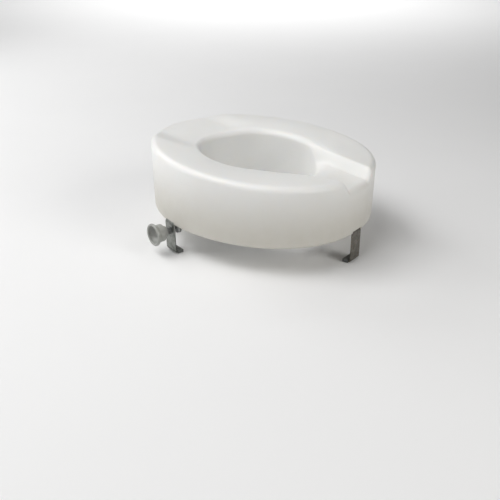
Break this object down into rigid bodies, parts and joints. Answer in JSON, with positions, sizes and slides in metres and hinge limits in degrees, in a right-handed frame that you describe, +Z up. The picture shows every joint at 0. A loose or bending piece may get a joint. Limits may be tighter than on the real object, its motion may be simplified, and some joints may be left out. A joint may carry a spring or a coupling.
{
  "type": "raised toilet seat",
  "caption": "Hollow moulded ring seat that sits on a toilet pan to raise its height, held by a front hook bracket and two side screw clamps.",
  "frame": {"origin": "on the plane through the lowest points of the three brackets, under the middle of the seat", "axes": "+Z up, the seat's front towards -Y, the seated user's right towards -X"},
  "size_m": [0.4234, 0.432, 0.1836],
  "materials": {
    "seat_plastic": "satin moulded polyethylene, milky white",
    "knob_plastic": "satin moulded plastic, white",
    "plug_plastic": "moulded plastic, off-white",
    "strip_steel": "zinc plated steel strip, dull",
    "plated_steel": "zinc plated",
    "insert_brass": "machined",
    "rubber": "matt"
  },
  "bodies": {
    "seat": {"seat_body": "seat_plastic", "vent_plug": "plug_plastic", "front_screws": "plated_steel", "front_washers": "plated_steel", "front_inserts": "insert_brass", "right_screws": "plated_steel", "right_washers": "plated_steel", "right_inserts": "insert_brass", "left_screws": "plated_steel", "left_washers": "plated_steel", "left_inserts": "insert_brass"},
    "front_bracket": {"front_bracket": "strip_steel", "front_hook_sleeve": "rubber"},
    "right_bracket": {"right_bracket": "strip_steel", "right_hook_sleeve": "rubber", "right_clamp_nut": "plated_steel"},
    "left_bracket": {"left_bracket": "strip_steel", "left_hook_sleeve": "rubber", "left_clamp_nut": "plated_steel"},
    "right_clamp_foot": {"right_clamp_foot": "plated_steel", "right_foot_pad": "rubber"},
    "right_clamp_screw": {"right_clamp_stud": "plated_steel", "right_knob": "knob_plastic", "right_knob_cap": "plug_plastic"},
    "left_clamp_foot": {"left_clamp_foot": "plated_steel", "left_foot_pad": "rubber"},
    "left_clamp_screw": {"left_clamp_stud": "plated_steel", "left_knob": "knob_plastic", "left_knob_cap": "plug_plastic"}
  },
  "joints": [
    {"name": "front_bracket_slide", "type": "slide", "parent": "seat", "child": "front_bracket", "axis": [0, -1, 0], "range_m": [-0.009, 0.009]},
    {"name": "right_bracket_slide", "type": "slide", "parent": "seat", "child": "right_bracket", "axis": [-0.9703, 0.2419, 0], "range_m": [-0.009, 0.009]},
    {"name": "left_bracket_slide", "type": "slide", "parent": "seat", "child": "left_bracket", "axis": [0.9703, 0.2419, 0], "range_m": [-0.009, 0.009]},
    {"name": "right_clamp_feed", "type": "slide", "parent": "right_bracket", "child": "right_clamp_foot", "axis": [-0.9703, 0.2419, 0], "range_m": [-0.0035, 0.007]},
    {"name": "right_knob_turn", "type": "hinge", "parent": "right_clamp_foot", "child": "right_clamp_screw", "pos_m": [-0.17174, 0.07282, 0.043], "axis": [-0.9703, 0.2419, 0], "range_deg": [-1013, 2021]},
    {"name": "left_clamp_feed", "type": "slide", "parent": "left_bracket", "child": "left_clamp_foot", "axis": [0.9703, 0.2419, 0], "range_m": [-0.0035, 0.007]},
    {"name": "left_knob_turn", "type": "hinge", "parent": "left_clamp_foot", "child": "left_clamp_screw", "pos_m": [0.17174, 0.07282, 0.043], "axis": [0.9703, 0.2419, 0], "range_deg": [-1013, 2021]}
  ],
  "couplings": [
    {"joint": "right_knob_turn", "follows": "right_clamp_feed", "rad_per_m": 5026.5},
    {"joint": "left_knob_turn", "follows": "left_clamp_feed", "rad_per_m": 5026.5}
  ]
}
